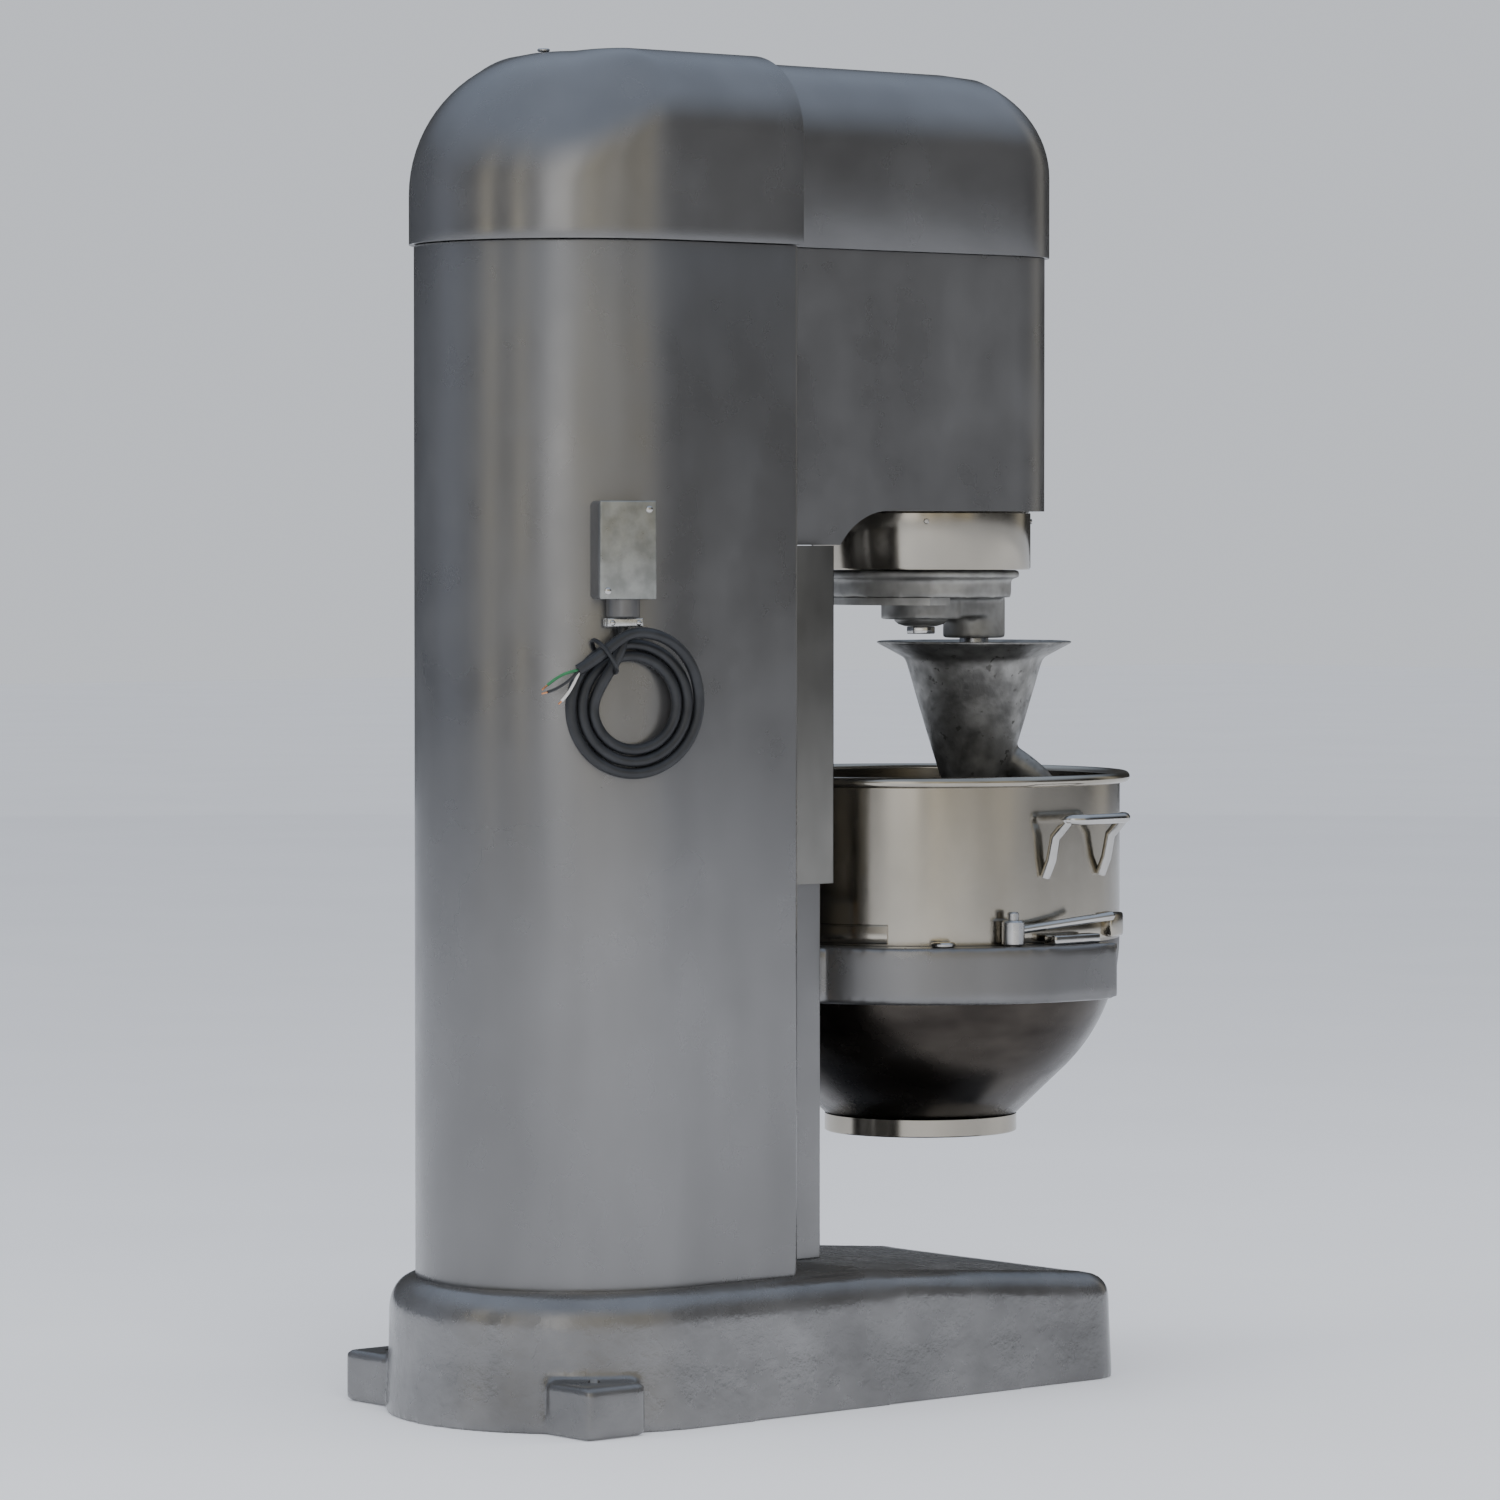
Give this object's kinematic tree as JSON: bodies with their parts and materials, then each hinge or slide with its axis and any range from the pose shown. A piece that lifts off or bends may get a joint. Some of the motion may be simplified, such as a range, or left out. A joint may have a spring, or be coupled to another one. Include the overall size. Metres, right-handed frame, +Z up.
{
  "type": "commercial stand mixer",
  "caption": "Floor-standing planetary mixer: tall cast column, lifting yoke with a stainless bowl, dough hook, drive train, bowl clamps and a coiled supply cord.",
  "frame": {"origin": "on the floor, on the vertical axis of the bowl and the planetary drive", "axes": "+Z up; -Y is the front, where the bowl stands; +X is the side with the controls"},
  "size_m": [0.7404, 1.255, 1.958],
  "materials": {
    "casting_paint": "satin silver-grey paint over cast iron",
    "cover_paint": "satin silver-grey paint over a smooth casting",
    "stainless": "brushed stainless steel",
    "polished": "polished steel",
    "steel": "machined steel",
    "cast_grey": "rough cast iron",
    "hook_cast": "dark mottled cast metal",
    "bronze": "bronze",
    "motor_paint": "satin blue-grey paint",
    "belt_rubber": "dry rubber",
    "cord_rubber": "matt rubber sheath",
    "zinc": "zinc plated",
    "button_green": "gloss",
    "button_red": "gloss",
    "knob_black": "gloss"
  },
  "bodies": {
    "frame": {"base_casting": "casting_paint", "column": "casting_paint", "column_cover": "cover_paint", "head_casting": "casting_paint", "head_cover": "cover_paint", "cover_screws": "steel", "drip_band": "stainless", "band_screws": "steel", "ring_gear": "steel", "bearing_plate": "cast_grey", "fixed_bearings": "steel", "motor_body": "motor_paint", "motor_mount": "cast_grey", "drive_belts": "belt_rubber", "way_covers": "stainless", "way_screws": "steel", "screw_blocks": "cast_grey", "lift_motor": "motor_paint", "junction_box": "casting_paint", "junction_cover": "zinc", "junction_screws": "steel", "cable_clamp": "zinc", "cord_lead": "cord_rubber", "cord_coil": "cord_rubber", "cord_tail": "cord_rubber", "control_box": "casting_paint"},
    "planetary": {"main_shaft": "steel", "main_gear": "steel", "planetary_housing": "cast_grey", "counterweight": "cast_grey", "planetary_cap": "cast_grey", "planetary_bolt": "polished", "agitator_bearings": "steel"},
    "agitator": {"agitator_shaft": "steel", "planet_pinion": "steel", "dough_hook": "hook_cast", "hook_pin": "steel"},
    "input": {"input_shaft": "steel", "input_pulley": "cast_grey"},
    "counter": {"counter_shaft": "steel", "counter_gear": "steel"},
    "motor_rotor": {"motor_shaft": "steel", "motor_pulley": "cast_grey"},
    "bowl_lift": {"yoke": "casting_paint", "lift_nut": "bronze", "way_gibs": "bronze", "bowl": "stainless", "bowl_foot_ring": "stainless", "bowl_band": "stainless", "bowl_handles": "polished", "yoke_pads": "polished"},
    "lift_drive": {"lift_screw": "steel"},
    "clamp_left": {"clamp_cam_left": "polished", "clamp_rod_left": "polished"},
    "clamp_right": {"clamp_cam_right": "polished", "clamp_rod_right": "polished"},
    "start": {"start_button": "button_green"},
    "stop": {"stop_button": "button_red"},
    "lift_control": {"lift_switch": "knob_black"},
    "shift": {"shift_lever": "knob_black"}
  },
  "joints": [
    {"name": "planetary_spin", "type": "hinge", "parent": "frame", "child": "planetary", "pos_m": [0, 0, 1.4], "axis": [0, 0, 1], "continuous": true},
    {"name": "agitator_spin", "type": "hinge", "parent": "planetary", "child": "agitator", "pos_m": [0, -0.108, 1.2], "axis": [0, 0, 1], "continuous": true},
    {"name": "counter_spin", "type": "hinge", "parent": "frame", "child": "counter", "pos_m": [0, 0.14, 1.45], "axis": [0, 0, 1], "continuous": true},
    {"name": "input_spin", "type": "hinge", "parent": "frame", "child": "input", "pos_m": [0, 0.25, 1.5], "axis": [0, 0, 1], "continuous": true},
    {"name": "motor_spin", "type": "hinge", "parent": "frame", "child": "motor_rotor", "pos_m": [0, 0.664, 1.5], "axis": [0, 0, 1], "continuous": true},
    {"name": "bowl_lift", "type": "slide", "parent": "frame", "child": "bowl_lift", "axis": [0, 0, 1], "range_m": [0, 0.22]},
    {"name": "lift_screw_spin", "type": "hinge", "parent": "frame", "child": "lift_drive", "pos_m": [0, 0.402, 0.7], "axis": [0, 0, 1], "continuous": true},
    {"name": "clamp_left_swing", "type": "hinge", "parent": "bowl_lift", "child": "clamp_left", "pos_m": [-0.311, 0.096, 0.66], "axis": [0, 0, 1], "range_deg": [-70, 0]},
    {"name": "clamp_right_swing", "type": "hinge", "parent": "bowl_lift", "child": "clamp_right", "pos_m": [0.311, 0.096, 0.66], "axis": [0, 0, 1], "range_deg": [0, 70]},
    {"name": "start_press", "type": "slide", "parent": "frame", "child": "start", "axis": [-1, 0, 0], "range_m": [0, 0.005], "stiffness_N_per_m": 800},
    {"name": "stop_press", "type": "slide", "parent": "frame", "child": "stop", "axis": [-1, 0, 0], "range_m": [0, 0.005], "stiffness_N_per_m": 800},
    {"name": "lift_switch_turn", "type": "hinge", "parent": "frame", "child": "lift_control", "pos_m": [0.284, 0.56, 1.352], "axis": [1, 0, 0], "range_deg": [-40, 40], "stiffness_Nm_per_rad": 0.5},
    {"name": "speed_shift", "type": "hinge", "parent": "frame", "child": "shift", "pos_m": [0.172, 0.3, 1.56], "axis": [1, 0, 0], "range_deg": [-35, 35]}
  ],
  "couplings": [
    {"joint": "agitator_spin", "follows": "planetary_spin", "ratio": -4},
    {"joint": "counter_spin", "follows": "planetary_spin", "ratio": -3},
    {"joint": "input_spin", "follows": "planetary_spin", "ratio": 8},
    {"joint": "motor_spin", "follows": "planetary_spin", "ratio": 16},
    {"joint": "lift_screw_spin", "follows": "bowl_lift", "rad_per_m": 314.16}
  ]
}
